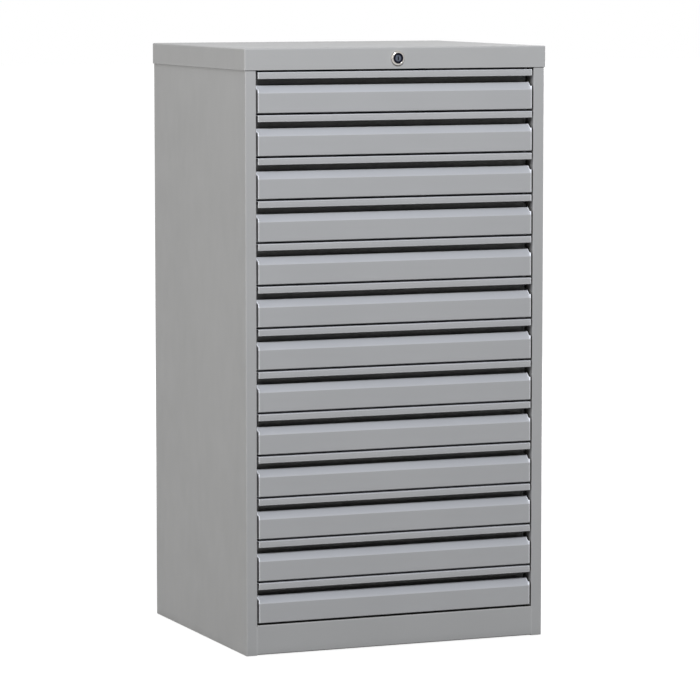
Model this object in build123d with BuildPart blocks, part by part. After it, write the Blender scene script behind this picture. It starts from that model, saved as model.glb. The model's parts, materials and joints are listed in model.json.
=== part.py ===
from build123d import *
import math
import os

# Steel cabinet with a stack of shallow drawers, a lift-on top cap and one central lock.
# Millimetres. +Z is up, the drawers open towards -Y, and the origin lies on the floor
# under the middle of the closed cabinet, its lock included.

# Outside sizes of the closed cabinet, over the top cap
cabinet_width = 485.0
cabinet_depth = 405.0
cabinet_height = 900.0

# Sheet steel
body_sheet = 1.0
cap_sheet = 1.2
tray_sheet = 0.8
runner_sheet = 1.2
outer_bend = 1.6
inner_bend = 0.6

# Top cap
cap_skirt_height = 32.0
cap_clearance = 0.4
cap_seat_gap = 0.3
cap_edge_radius = 2.2

# Body shell
floor_clearance = 1.0
stile_width = 17.3
jamb_depth = 25.0
rear_flange_width = 15.0
plinth_height = 46.0
plinth_toe_gap = 0.6
plinth_bottom_return = 15.0
rail_top_return = 14.0
back_panel_edge_gap = 1.0
base_pan_height = 30.0
base_flange_height = 24.0
base_pan_setback = 1.0

# Drawers
drawer_count = 13
front_gap = 3.0
side_gap = 2.8
drawer_hold_back = 61.0

# Folded front of a drawer, from its bottom edge upwards
front_sheet = 1.0
flat_height = 29.4
bevel_height = 12.0
bevel_depth = 13.6
bevel_edge_bend = 1.15
lip_height = 10.0
recess_depth = 25.0
recess_drop = 6.0
hem_gap = 0.4
hem_height = 5.0
hem_bend = 0.15

# Tray of a drawer
tray_length = 361.0
tray_height = 50.0
tray_lift = 2.0
rim_width = 6.0
rim_side_clearance = 0.9

# Nylon glide strips and catch block of a drawer
glide_thickness = 2.0
glide_inset = 0.3
glide_side_gap = 1.5
glide_seat_clearance = 0.2
catch_width = 5.5
catch_length = 6.0
catch_height = 8.0
catch_level = 40.0
stop_block_length = 6.0
stop_block_height = 8.0
stop_block_drop = 0.8
stop_gap = 0.3

# Runners and the posts that carry them
runner_headroom = 1.0
runner_start = 34.0
runner_end_gap = 11.4
runner_lip_gap = 1.8
stop_setback = 25.0
stop_tab_drop = 9.0
post_width = 24.0
front_post_start = 36.0
rear_post_gap = 25.0
post_top_gap = 3.0

# Lock cylinder
lock_drop = 16.5
lock_ring_radius = 10.8
lock_proud = 3.6
lock_ring_edge = 1.4
lock_barrel_radius = 9.0
lock_barrel_length = 20.0
lock_hole_clearance = 0.1
plug_radius = 7.95
plug_running_clearance = 0.05
plug_recess = 0.7
plug_tail = 6.0
plug_tail_clearance = 0.05
key_disc_radius = 4.6
key_disc_height = 0.4
keyway_width = 1.6
keyway_height = 6.0
keyway_depth = 9.0
nut_across_flats = 24.0
nut_thickness = 4.0

# Cam, link and bar that carry the lock's turn to the drawers
lock_turn = 90.0
cam_radius = 8.0
cam_hub_radius = 7.0
cam_end_radius = 3.2
cam_thickness = 2.0
cam_setback = 24.4
pin_radius = 1.5
cam_slot_clearance = 0.35
bar_slot_clearance = 0.3
link_gap = 0.6
link_thickness = 1.5
link_height = 12.0
link_rise = 2.5
link_tail = 8.0
slot_end_room = 0.3
ramp_angle = 40.0
ramp_margin = 4.0
bar_gap = 0.3
bar_thickness = 2.0
bar_width = 10.0
bar_jamb_clearance = 1.4
bar_pin_rise = 3.5
bar_head_reach = 4.0
bar_pin_inset = 4.0
pin_end_room = 0.2
tooth_height = 6.0
tooth_side_gap = 1.5
catch_gap = 1.0
bar_foot = 12.0
guide_wall = 1.6
guide_clearance = 0.3
guide_height = 20.0
guide_grip = 4.0
bar_guide_count = 3
link_guide_places = (70.0, 170.0)
link_guide_length = 14.0

# Levelling feet
foot_pad_radius = 14.0
foot_pad_height = 6.0
foot_pad_edge = 1.5
foot_collar_radius = 8.0
foot_collar_height = 6.0
foot_stud_radius = 4.0
foot_stud_length = 12.0
foot_hole_clearance = 0.2
foot_inset_x = 36.0
foot_inset_y = 48.0

# Blind rivets that hold the back panel
rivet_radius = 1.6
rivet_head_radius = 3.2
rivet_head_height = 1.0
rivet_head_edge = 0.9
rivet_tail_radius = 2.4
rivet_tail_height = 1.5
rivet_hole_clearance = 0.05
rivets_per_side = 7
rivet_end_inset = 60.0

# Heights and depths that follow from the sizes above
cap_front_y = -(cabinet_depth + lock_proud) / 2 + lock_proud
cap_rear_y = cap_front_y + cabinet_depth
body_inset = cap_sheet + cap_clearance
body_front_y = cap_front_y + body_inset
body_rear_y = cap_rear_y - body_inset
body_half_width = cabinet_width / 2 - body_inset
wall_inner_x = body_half_width - body_sheet
body_top = cabinet_height - cap_sheet - cap_seat_gap
opening_half_width = body_half_width - stile_width
opening_top = cabinet_height - cap_skirt_height
jamb_rear_y = body_front_y + jamb_depth
back_panel_y = body_rear_y - body_sheet
inside_rear_y = back_panel_y - body_sheet
drawer_pitch = (opening_top - plinth_height - front_gap) / drawer_count
front_height = drawer_pitch - front_gap
front_half_width = opening_half_width - side_gap

recess_back_y = body_front_y + recess_depth
tray_front_y = recess_back_y + front_sheet
tray_rear_y = tray_front_y + tray_length
runner_web_x = opening_half_width - runner_sheet
rim_half_width = runner_web_x - rim_side_clearance
tray_half_width = rim_half_width - rim_width
tray_top = tray_lift + tray_height
ledge_level = tray_top - tray_sheet - glide_thickness - glide_seat_clearance
runner_start_y = cap_front_y + runner_start
runner_end_y = inside_rear_y - runner_end_gap
stop_tab_y = runner_start_y + stop_setback
drawer_travel = tray_length - drawer_hold_back
stop_block_y = stop_tab_y + runner_sheet + drawer_travel + stop_gap
post_base = base_pan_height
post_top = body_top - post_top_gap

lock_z = cabinet_height - lock_drop
cam_front_y = cap_front_y + cam_setback
cam_rear_y = cam_front_y + cam_thickness
link_front_y = cam_rear_y + link_gap
link_rear_y = link_front_y + link_thickness
bar_front_y = link_rear_y + bar_gap
bar_rear_y = bar_front_y + bar_thickness
link_bottom = opening_top + link_rise
link_top = link_bottom + link_height
half_turn = math.radians(lock_turn / 2)
link_travel = 2 * cam_radius * math.sin(half_turn)
bar_travel = link_travel * math.tan(math.radians(ramp_angle))
bar_left_x = opening_half_width + body_sheet + bar_jamb_clearance
bar_right_x = bar_left_x + bar_width
bar_pin_x = bar_left_x - bar_pin_inset
bar_pin_z = link_bottom + bar_pin_rise
cam_pin_x = cam_radius * math.sin(half_turn)
cam_pin_low_z = lock_z - cam_radius
cam_pin_z = lock_z - cam_radius * math.cos(half_turn)
rail_rear_y = bar_rear_y + catch_gap
catch_front_y = bar_rear_y + catch_gap


def drawer_bottom(number):
    """Height of the bottom edge of a drawer's front, counted from the top drawer down."""
    return opening_top - number * drawer_pitch


def seen_from_front(y):
    """Plane that faces the viewer at a depth: its axes are X and Z, its normal is -Y."""
    return Plane.XZ.offset(-y)


def folded_sheet(points, bends, thickness, side):
    """Closed outline of a sheet that is folded along a path and lies on one side of it."""
    with BuildLine() as outline:
        FilletPolyline(*points, radius=bends)
        offset(amount=thickness, side=side, closed=True)
    return outline.line


def inner_side(hand):
    """Side of a path on which the sheet lies, for a piece on the right (1) or left (-1)."""
    return Side.RIGHT if hand > 0 else Side.LEFT


def outer_side(hand):
    """The other side of such a path."""
    return Side.LEFT if hand > 0 else Side.RIGHT


def block(low, high):
    """A plain block between two corners, added to the part that is being built."""
    middle = tuple((start + end) / 2 for start, end in zip(low, high))
    size = tuple(end - start for start, end in zip(low, high))
    with Locations(middle):
        Box(*size)


def save(part, name):
    """Label a finished piece and write its file."""
    part.label = name
    export_step(part, f"parts/{name}.step")


def rivet_places(hand):
    """Places of one column of back rivets, in X and Z."""
    column_x = hand * (body_half_width - rear_flange_width / 2)
    first = floor_clearance + rivet_end_inset
    step = (body_top - rivet_end_inset - first) / (rivets_per_side - 1)
    return [(column_x, first + index * step) for index in range(rivets_per_side)]


def rivet_hole_locations(hands):
    """Where the rivet holes start, on the inner face of the back panel."""
    places = [place for hand in hands for place in rivet_places(hand)]
    return [seen_from_front(inside_rear_y) * Location(place) for place in places]


os.makedirs("parts", exist_ok=True)

# Side panels: outer wall, front stile, jamb return and rear flange in one folded sheet

for hand, name in ((-1, "side_panel_left"), (1, "side_panel_right")):
    panel_path = [
        (hand * opening_half_width, jamb_rear_y),
        (hand * opening_half_width, body_front_y),
        (hand * body_half_width, body_front_y),
        (hand * body_half_width, body_rear_y),
        (hand * (body_half_width - rear_flange_width), body_rear_y),
    ]
    with BuildPart() as side_panel:
        with BuildSketch(Plane.XY.offset(floor_clearance)):
            add(folded_sheet(panel_path, outer_bend, body_sheet, outer_side(hand)))
            make_face()
        extrude(amount=body_top - floor_clearance)
        with Locations(*rivet_hole_locations([hand])):
            Hole(rivet_radius + rivet_hole_clearance, depth=2 * body_sheet)
    save(side_panel.part, name)

# Back panel, behind the drawers and in front of the rear flanges

with BuildPart() as back_panel:
    panel_half_width = wall_inner_x - back_panel_edge_gap
    block(
        (-panel_half_width, inside_rear_y, floor_clearance + back_panel_edge_gap),
        (panel_half_width, back_panel_y, body_top - back_panel_edge_gap),
    )
    with Locations(*rivet_hole_locations([-1, 1])):
        Hole(rivet_radius + rivet_hole_clearance, depth=body_sheet)
save(back_panel.part, "back_panel")

# Rivets: a domed head behind, a shank through both sheets and a set tail inside

with BuildPart() as back_rivets:
    for place in rivet_places(-1) + rivet_places(1):
        with BuildSketch(seen_from_front(body_rear_y)):
            with Locations(place):
                Circle(rivet_head_radius)
        extrude(amount=-rivet_head_height)
        with BuildSketch(seen_from_front(body_rear_y)):
            with Locations(place):
                Circle(rivet_radius)
        extrude(amount=2 * body_sheet)
        with BuildSketch(seen_from_front(inside_rear_y)):
            with Locations(place):
                Circle(rivet_tail_radius)
        extrude(amount=rivet_tail_height)
    head_edges = back_rivets.edges().filter_by(GeomType.CIRCLE).group_by(Axis.Y)[-1]
    fillet(head_edges, radius=rivet_head_edge)
save(back_rivets.part, "back_rivets")

# Top cap: a shallow lid that laps over the body, with the lock hole in its front skirt

with BuildPart() as top_cap:
    block(
        (-cabinet_width / 2, cap_front_y, opening_top),
        (cabinet_width / 2, cap_rear_y, cabinet_height),
    )
    fillet(top_cap.edges().filter_by(Axis.Z), radius=cap_edge_radius)
    fillet(top_cap.faces().sort_by(Axis.Z)[-1].edges(), radius=cap_edge_radius)
    offset(amount=-cap_sheet, openings=top_cap.faces().sort_by(Axis.Z)[0])
    with Locations(seen_from_front(cap_front_y) * Location((0, lock_z))):
        Hole(lock_barrel_radius + lock_hole_clearance, depth=2 * cap_sheet)
save(top_cap.part, "top_cap")

# Lock rail: the top front cross member, between the jambs and behind the cap's skirt

with BuildPart() as lock_rail:
    rail_path = [
        (rail_rear_y, opening_top),
        (body_front_y, opening_top),
        (body_front_y, body_top),
        (body_front_y + rail_top_return, body_top),
    ]
    with BuildSketch(Plane.YZ.offset(-opening_half_width)):
        add(folded_sheet(rail_path, outer_bend, body_sheet, Side.RIGHT))
        make_face()
    extrude(amount=2 * opening_half_width)
    with Locations(seen_from_front(body_front_y) * Location((0, lock_z))):
        Hole(lock_barrel_radius + lock_hole_clearance, depth=2 * body_sheet)
save(lock_rail.part, "lock_rail")

# Plinth: the kick panel under the last drawer

with BuildPart() as plinth_panel:
    plinth_bottom = floor_clearance + plinth_toe_gap
    plinth_path = [
        (body_front_y + plinth_bottom_return, plinth_bottom),
        (body_front_y, plinth_bottom),
        (body_front_y, plinth_height),
        (jamb_rear_y, plinth_height),
    ]
    with BuildSketch(Plane.YZ.offset(-opening_half_width)):
        add(folded_sheet(plinth_path, outer_bend, body_sheet, Side.RIGHT))
        make_face()
    extrude(amount=2 * opening_half_width)
save(plinth_panel.part, "plinth_panel")

# Base pan: the floor of the body, which stands on the levelling feet

foot_x = body_half_width - foot_inset_x
foot_places = [
    (hand * foot_x, y)
    for hand in (-1, 1)
    for y in (body_front_y + foot_inset_y, body_rear_y - foot_inset_y)
]

with BuildPart() as base_pan:
    base_pan_front_y = jamb_rear_y + base_pan_setback
    flange_bottom = base_pan_height - base_flange_height
    pan_path = [
        (-wall_inner_x, flange_bottom),
        (-wall_inner_x, base_pan_height),
        (wall_inner_x, base_pan_height),
        (wall_inner_x, flange_bottom),
    ]
    with BuildSketch(seen_from_front(inside_rear_y)):
        add(folded_sheet(pan_path, outer_bend, body_sheet, Side.RIGHT))
        make_face()
    extrude(amount=inside_rear_y - base_pan_front_y)
    with Locations(*[Location((x, y, base_pan_height)) for x, y in foot_places]):
        Hole(foot_stud_radius + foot_hole_clearance, depth=2 * body_sheet)
save(base_pan.part, "base_pan")

# Levelling feet: a pad on the floor, and a stud whose collar bears on the base pan

with BuildPart() as levelling_feet:
    pan_underside = base_pan_height - body_sheet
    foot_stages = (
        (foot_pad_radius, 0.0, foot_pad_height),
        (foot_stud_radius, foot_pad_height, base_pan_height + foot_stud_length),
        (foot_collar_radius, pan_underside - foot_collar_height, pan_underside),
    )
    for radius, bottom, top in foot_stages:
        with BuildSketch(Plane.XY.offset(bottom)):
            with Locations(*foot_places):
                Circle(radius)
        extrude(amount=top - bottom)
    pad_edges = levelling_feet.edges().filter_by(GeomType.CIRCLE).filter_by(
        lambda edge: abs(edge.radius - foot_pad_radius) < 0.01
    )
    fillet(pad_edges.group_by(Axis.Z)[-1], radius=foot_pad_edge)
save(levelling_feet.part, "levelling_feet")

# Posts inside the side walls, front and rear, which carry the runners

post_spans = (
    (cap_front_y + front_post_start, cap_front_y + front_post_start + post_width),
    (inside_rear_y - rear_post_gap - post_width, inside_rear_y - rear_post_gap),
)

for hand, name in ((-1, "runner_posts_left"), (1, "runner_posts_right")):
    with BuildPart() as runner_posts:
        for post_front_y, post_rear_y in post_spans:
            post_path = [
                (hand * wall_inner_x, post_front_y),
                (hand * opening_half_width, post_front_y),
                (hand * opening_half_width, post_rear_y),
                (hand * wall_inner_x, post_rear_y),
            ]
            with BuildSketch(Plane.XY.offset(post_base)):
                add(folded_sheet(post_path, outer_bend, runner_sheet, inner_side(hand)))
                make_face()
            extrude(amount=post_top - post_base)
    save(runner_posts.part, name)

# Runners: one channel for each drawer and side, its lower flange the ledge of the drawer,
# with a stop tab bent down from the ledge

for hand, name in ((-1, "runners_left"), (1, "runners_right")):
    lip_x = tray_half_width + runner_lip_gap
    with BuildPart() as runners:
        for number in range(1, drawer_count + 1):
            ledge_z = drawer_bottom(number) + ledge_level
            hood_z = drawer_bottom(number) + tray_top + runner_headroom
            runner_path = [
                (hand * lip_x, ledge_z),
                (hand * runner_web_x, ledge_z),
                (hand * runner_web_x, hood_z),
                (hand * lip_x, hood_z),
            ]
            with BuildSketch(seen_from_front(runner_end_y)):
                add(folded_sheet(runner_path, inner_bend, runner_sheet, inner_side(hand)))
                make_face()
            extrude(amount=runner_end_y - runner_start_y)
            tab_x = sorted((hand * lip_x, hand * runner_web_x))
            ledge_underside = ledge_z - runner_sheet
            block(
                (tab_x[0], stop_tab_y, ledge_underside - stop_tab_drop),
                (tab_x[1], stop_tab_y + runner_sheet, ledge_z),
            )
    save(runners.part, name)

# Drawers: a folded front with its finger recess, a tray, and the nylon pieces on its sides


def drawer_front(bottom):
    """Front of one drawer: flat, bevel, finger recess and hemmed lip from one sheet."""
    bevel_top = bottom + flat_height + bevel_height
    bevel_rear_y = body_front_y + bevel_depth
    lip_top = bottom + front_height - front_sheet
    lip_bottom = bottom + front_height - lip_height + front_sheet
    lip_back_y = body_front_y + front_sheet
    hem_y = lip_back_y + hem_gap
    lower_path = [
        (tray_front_y, bottom),
        (body_front_y, bottom),
        (body_front_y, bottom + flat_height),
        (bevel_rear_y, bevel_top),
        (bevel_rear_y, bevel_top - recess_drop),
        (recess_back_y, bevel_top - recess_drop),
    ]
    upper_path = [
        (recess_back_y, lip_top),
        (lip_back_y, lip_top),
        (lip_back_y, lip_bottom),
        (hem_y, lip_bottom),
        (hem_y, lip_bottom + hem_height),
    ]
    lower_bends = [outer_bend, outer_bend, bevel_edge_bend, inner_bend]
    upper_bends = [inner_bend] * 3 + [hem_bend] * 2
    with BuildPart() as front:
        with BuildSketch(Plane.YZ.offset(-front_half_width)):
            profile = lower_path + upper_path
            add(folded_sheet(profile, lower_bends + upper_bends, front_sheet, Side.RIGHT))
            make_face()
        extrude(amount=2 * front_half_width)
        for cheek_x in (-front_half_width, front_half_width - front_sheet):
            with BuildSketch(Plane.YZ.offset(cheek_x)):
                with BuildLine():
                    cheek = FilletPolyline(*lower_path, radius=lower_bends)
                    Line(cheek @ 1, cheek @ 0)
                make_face()
            extrude(amount=front_sheet)
    return front.part


def drawer_tray(bottom):
    """Tray of one drawer: an open box with a rim along each side that rides the runners."""
    floor_z = bottom + tray_lift
    top_z = bottom + tray_top
    with BuildPart() as tray:
        block(
            (-tray_half_width, tray_front_y, floor_z),
            (tray_half_width, tray_rear_y, top_z),
        )
        fillet(tray.edges().filter_by(Axis.Z), radius=outer_bend)
        fillet(tray.faces().sort_by(Axis.Z)[0].edges(), radius=outer_bend)
        offset(amount=-tray_sheet, openings=tray.faces().sort_by(Axis.Z)[-1])
        for hand in (-1, 1):
            rim_x = sorted((hand * (tray_half_width - tray_sheet / 2), hand * rim_half_width))
            block(
                (rim_x[0], tray_front_y + outer_bend, top_z - tray_sheet),
                (rim_x[1], tray_rear_y - outer_bend, top_z),
            )
    return tray.part


def drawer_glides(bottom):
    """Glide strips, stop blocks for the end of travel, and the catch block of the lock."""
    strip_top = bottom + tray_top - tray_sheet
    strip_inner_x = tray_half_width + glide_side_gap
    strip_outer_x = rim_half_width - glide_inset
    catch_z = bottom + catch_level
    stop_top = bottom + ledge_level - runner_sheet - stop_block_drop
    with BuildPart() as glides:
        for hand in (-1, 1):
            strip_x = sorted((hand * strip_inner_x, hand * strip_outer_x))
            block(
                (strip_x[0], tray_front_y + outer_bend, strip_top - glide_thickness),
                (strip_x[1], tray_rear_y - outer_bend, strip_top),
            )
            stop_x = sorted((hand * tray_half_width, hand * (tray_half_width + catch_width)))
            block(
                (stop_x[0], stop_block_y, stop_top - stop_block_height),
                (stop_x[1], stop_block_y + stop_block_length, stop_top),
            )
        block(
            (tray_half_width, catch_front_y, catch_z - catch_height / 2),
            (tray_half_width + catch_width, catch_front_y + catch_length, catch_z + catch_height / 2),
        )
    return glides.part


for number in range(1, drawer_count + 1):
    save(drawer_front(drawer_bottom(number)), f"drawer_front_{number:02d}")
    save(drawer_tray(drawer_bottom(number)), f"drawer_tray_{number:02d}")
    save(drawer_glides(drawer_bottom(number)), f"drawer_glides_{number:02d}")

# Lock housing: the bright ring in front of the cap and the barrel through cap and rail

with BuildPart() as lock_housing:
    with BuildSketch(seen_from_front(cap_front_y)):
        with Locations((0, lock_z)):
            Circle(lock_ring_radius)
    extrude(amount=lock_proud)
    fillet(lock_housing.edges().group_by(Axis.Y)[0], radius=lock_ring_edge)
    with BuildSketch(seen_from_front(cap_front_y)):
        with Locations((0, lock_z)):
            Circle(lock_barrel_radius)
    extrude(amount=-lock_barrel_length)
    with Locations(seen_from_front(cap_front_y - lock_proud) * Location((0, lock_z))):
        Hole(plug_radius + plug_running_clearance)
save(lock_housing.part, "lock_housing")

# Lock plug: it turns in the housing, with a key disc and keyway in front and a square tail

with BuildPart() as lock_plug:
    plug_front_y = cap_front_y - lock_proud + plug_recess
    plug_rear_y = cap_front_y + lock_barrel_length
    with BuildSketch(seen_from_front(plug_front_y)):
        with Locations((0, lock_z)):
            Circle(plug_radius)
    extrude(amount=plug_front_y - plug_rear_y)
    with BuildSketch(seen_from_front(plug_front_y)):
        with Locations((0, lock_z)):
            Circle(key_disc_radius)
    extrude(amount=key_disc_height)
    with BuildSketch(seen_from_front(plug_rear_y)):
        with Locations((0, lock_z)):
            Rectangle(plug_tail, plug_tail)
    extrude(amount=plug_rear_y - cam_rear_y - pin_end_room)
    with BuildSketch(seen_from_front(plug_front_y - key_disc_height)):
        with Locations((0, lock_z)):
            Rectangle(keyway_width, keyway_height)
    extrude(amount=-keyway_depth, mode=Mode.SUBTRACT)
save(lock_plug.part, "lock_plug")

# Lock nut: it clamps the housing to the rail

with BuildPart() as lock_nut:
    nut_front_y = body_front_y + body_sheet
    with BuildSketch(seen_from_front(nut_front_y)):
        with Locations((0, lock_z)):
            RegularPolygon(nut_across_flats / 2, side_count=6, major_radius=False)
            Circle(lock_barrel_radius + lock_hole_clearance, mode=Mode.SUBTRACT)
    extrude(amount=-nut_thickness)
save(lock_nut.part, "lock_nut")

# Cam: a lever on the plug's tail, with a pin that reaches through the link's slot

with BuildPart() as lock_cam:
    with BuildSketch(seen_from_front(cam_rear_y)):
        with Locations((0, lock_z)):
            Circle(cam_hub_radius)
        with Locations((cam_pin_x, cam_pin_z)):
            Circle(cam_end_radius)
        make_hull()
        with Locations((0, lock_z)):
            Rectangle(
                plug_tail + 2 * plug_tail_clearance,
                plug_tail + 2 * plug_tail_clearance,
                mode=Mode.SUBTRACT,
            )
    extrude(amount=cam_thickness)
    with BuildSketch(seen_from_front(cam_rear_y)):
        with Locations((cam_pin_x, cam_pin_z)):
            Circle(pin_radius)
    extrude(amount=cam_rear_y - link_rear_y - pin_end_room)
save(lock_cam.part, "lock_cam")

# Link: a flat bar behind the cam that slides sideways and lifts the lock bar by its ramp

with BuildPart() as lock_link:
    ramp_end_x = bar_pin_x + link_travel
    ramp_end_z = bar_pin_z + bar_travel
    ramp_length = link_travel / math.cos(math.radians(ramp_angle))
    cam_slot_length = cam_pin_z - cam_pin_low_z
    block(
        (cam_pin_x - link_tail, link_front_y, link_bottom),
        (ramp_end_x + ramp_margin, link_rear_y, link_top),
    )
    block(
        (bar_pin_x - ramp_margin, link_front_y, link_bottom),
        (ramp_end_x + ramp_margin, link_rear_y, ramp_end_z + ramp_margin),
    )
    with BuildSketch(seen_from_front(link_rear_y)):
        with Locations((cam_pin_x, (cam_pin_z + cam_pin_low_z) / 2)):
            SlotCenterToCenter(
                cam_slot_length + 2 * slot_end_room,
                2 * (pin_radius + cam_slot_clearance),
                rotation=90,
            )
        with Locations(((bar_pin_x + ramp_end_x) / 2, (bar_pin_z + ramp_end_z) / 2)):
            SlotCenterToCenter(
                ramp_length + 2 * slot_end_room,
                2 * (pin_radius + bar_slot_clearance),
                rotation=ramp_angle,
            )
    extrude(amount=link_thickness, mode=Mode.SUBTRACT)
save(lock_link.part, "lock_link")

# Lock bar: it stands behind the right jamb, with a head for the link and a tooth a drawer

with BuildPart() as lock_bar:
    tooth_x = tray_half_width + tooth_side_gap
    tooth_levels = [
        drawer_bottom(number) + catch_level - bar_travel for number in range(1, drawer_count + 1)
    ]
    bar_top = bar_pin_z + bar_pin_rise
    block(
        (bar_left_x, bar_front_y, tooth_levels[-1] - bar_foot),
        (bar_right_x, bar_rear_y, bar_top),
    )
    block(
        (bar_pin_x - bar_head_reach, bar_front_y, bar_pin_z - bar_pin_rise),
        (bar_left_x, bar_rear_y, bar_top),
    )
    for level in tooth_levels:
        block(
            (tooth_x, bar_front_y, level - tooth_height / 2),
            (bar_left_x, bar_rear_y, level + tooth_height / 2),
        )
    with BuildSketch(seen_from_front(bar_front_y)):
        with Locations((bar_pin_x, bar_pin_z)):
            Circle(pin_radius)
    extrude(amount=bar_front_y - link_front_y + pin_end_room)
save(lock_bar.part, "lock_bar")

# Nylon guides: clips on the right wall for the bar, and saddles on the rail for the link

with BuildPart() as lock_guides:
    guide_reach = guide_clearance + guide_wall
    first_guide_z = tooth_levels[-1] + drawer_pitch / 2
    guide_step = (tooth_levels[0] - tooth_levels[-1] - drawer_pitch) / (bar_guide_count - 1)
    for index in range(bar_guide_count):
        guide_z = first_guide_z + index * guide_step
        block(
            (bar_right_x - guide_grip, bar_front_y - guide_reach, guide_z - guide_height / 2),
            (wall_inner_x, bar_rear_y + guide_reach, guide_z + guide_height / 2),
        )
    for guide_x in link_guide_places:
        block(
            (guide_x, link_front_y - guide_reach, opening_top + body_sheet),
            (guide_x + link_guide_length, link_rear_y + guide_reach, link_bottom + guide_grip),
        )
    with BuildSketch(Plane.XY.offset(plinth_height)):
        with Locations(((bar_left_x + bar_right_x) / 2, (bar_front_y + bar_rear_y) / 2)):
            Rectangle(bar_width + 2 * guide_clearance, bar_thickness + 2 * guide_clearance)
    extrude(amount=body_top - plinth_height, mode=Mode.SUBTRACT)
    with BuildSketch(Plane.YZ):
        with Locations(((link_front_y + link_rear_y) / 2, (link_bottom + link_top) / 2)):
            Rectangle(link_thickness + 2 * guide_clearance, link_height + 2 * guide_clearance)
    extrude(amount=bar_pin_x - bar_head_reach, mode=Mode.SUBTRACT)
save(lock_guides.part, "lock_guides")
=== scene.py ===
import json
import logging
import math
from collections.abc import Callable
from dataclasses import dataclass, field
from enum import Enum

import bmesh
import bpy
from bmesh.types import BMEdge
from bpy.types import Material, Node, NodeSocket, NodeTree, Object
from mathutils import Matrix, Vector

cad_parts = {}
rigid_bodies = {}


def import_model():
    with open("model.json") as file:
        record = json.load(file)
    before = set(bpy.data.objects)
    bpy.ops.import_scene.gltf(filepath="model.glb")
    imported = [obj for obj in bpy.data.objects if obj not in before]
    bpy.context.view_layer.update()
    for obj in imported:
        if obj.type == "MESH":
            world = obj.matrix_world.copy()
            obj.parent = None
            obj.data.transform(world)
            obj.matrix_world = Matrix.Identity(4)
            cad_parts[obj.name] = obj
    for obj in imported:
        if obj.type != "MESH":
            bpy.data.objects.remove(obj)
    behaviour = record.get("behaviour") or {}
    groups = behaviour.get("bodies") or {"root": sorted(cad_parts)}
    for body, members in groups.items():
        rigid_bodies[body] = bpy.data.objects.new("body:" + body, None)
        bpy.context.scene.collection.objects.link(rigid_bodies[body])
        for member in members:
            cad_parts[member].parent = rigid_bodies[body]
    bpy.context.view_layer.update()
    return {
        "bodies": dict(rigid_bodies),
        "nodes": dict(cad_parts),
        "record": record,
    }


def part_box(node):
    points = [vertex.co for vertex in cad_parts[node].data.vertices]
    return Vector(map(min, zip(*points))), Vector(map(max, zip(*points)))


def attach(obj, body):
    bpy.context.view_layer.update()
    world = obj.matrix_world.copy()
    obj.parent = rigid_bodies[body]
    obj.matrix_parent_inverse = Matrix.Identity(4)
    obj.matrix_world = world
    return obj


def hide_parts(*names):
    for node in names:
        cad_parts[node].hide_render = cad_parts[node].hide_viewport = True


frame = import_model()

Span = tuple[float, float]
Triple = tuple[float, float, float]
Socket = str | int

log = logging.getLogger("cabinet")

CARCASS = "carcass"
DRAWERS = sorted(name for name in frame["bodies"] if name.startswith("drawer_"))
TINY = 1e-5  # metres within which two points count as one
FACING = 0.9  # part of a face's normal along an axis from which it faces that way
EASED = 0.25  # share of a sheet's thickness by which its cut edges are rounded
ALL_ALIKE = (1.0, 1.0, 1.0)
NOISE_MIDDLE = (0.3, 0.7)  # range of a noise's factor that holds nearly all of it
SHADER_SAMPLES = 8


class Slot(Enum):
    """Material slots of the cabinet's record that new pieces and nodes are dressed by."""

    BODY = "body_paint"
    DRAWER = "drawer_paint"
    TRAY = "tray_paint"
    ZINC = "zinc_steel"
    RIVET = "rivet_aluminium"
    CHROME = "lock_chrome"
    PLUG = "plug_metal"
    NYLON = "nylon"
    FOOT = "foot_plastic"


class Fold(Enum):
    """Side of a path, seen along the path, on which the sheet's thickness lies."""

    LEFT = 1
    RIGHT = -1


@dataclass(frozen=True)
class Pattern:
    """A noise: lumps per metre, number of finer layers, and scale along each axis."""

    scale: float
    detail: float
    stretch: Triple = ALL_ALIKE


def scaled(colour: Triple, share: float) -> Triple:
    """Multiply a colour by a share and hold it at 1 or less."""
    return tuple(min(part * share, 1.0) for part in colour)


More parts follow.
